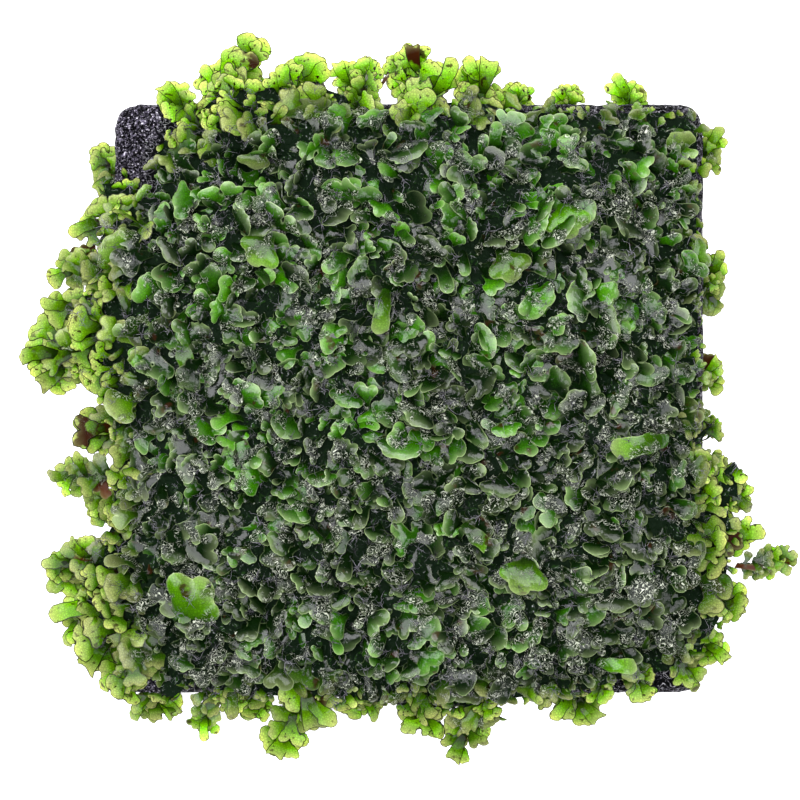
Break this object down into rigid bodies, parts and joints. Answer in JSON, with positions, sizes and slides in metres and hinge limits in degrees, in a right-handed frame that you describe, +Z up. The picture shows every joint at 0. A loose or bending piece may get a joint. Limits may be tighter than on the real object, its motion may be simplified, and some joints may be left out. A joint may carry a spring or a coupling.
{
  "type": "aquatic fern mat on a stone slab",
  "caption": "Low mat of overlapping lobed water-fern fronds grown over a porous square slab, with forked sprigs along its rim and a flat underside.",
  "frame": {"origin": "middle of the slab's flat underside, where it rests", "axes": "+Z up out of the slab through the mat, +Y towards the side with the tallest sprigs, +X towards the side with the single long sprig"},
  "size_m": [0.1051, 0.0993, 0.0225],
  "materials": {
    "stone": "dark porous stone, wet in places",
    "frond_green": "wet glossy living frond, dark to mid green",
    "frond_young": "thin translucent young frond, yellow-green"
  },
  "bodies": {
    "root": {"slab": "stone", "clump_01": "frond_green", "clump_02": "frond_green", "clump_03": "frond_green", "clump_04": "frond_green", "clump_05": "frond_green", "clump_06": "frond_green", "clump_07": "frond_green", "clump_08": "frond_green", "clump_09": "frond_green", "clump_10": "frond_green", "clump_11": "frond_green", "clump_12": "frond_green", "clump_13": "frond_green", "clump_14": "frond_green", "clump_15": "frond_green", "clump_16": "frond_green", "clump_17": "frond_green", "clump_18": "frond_green", "clump_19": "frond_green", "clump_20": "frond_green", "clump_21": "frond_green", "clump_22": "frond_green", "clump_23": "frond_green", "clump_24": "frond_green", "clump_25": "frond_green", "frond_top_01": "frond_young", "frond_top_02": "frond_young", "frond_top_03": "frond_young", "frond_right_04": "frond_young", "frond_right_05": "frond_young", "frond_right_06": "frond_young", "frond_right_07": "frond_young", "frond_bottom_08": "frond_young", "frond_bottom_09": "frond_young", "frond_bottom_10": "frond_young", "frond_bottom_11": "frond_young", "frond_left_12": "frond_young", "frond_left_13": "frond_young", "frond_left_14": "frond_young"}
  },
  "joints": []
}
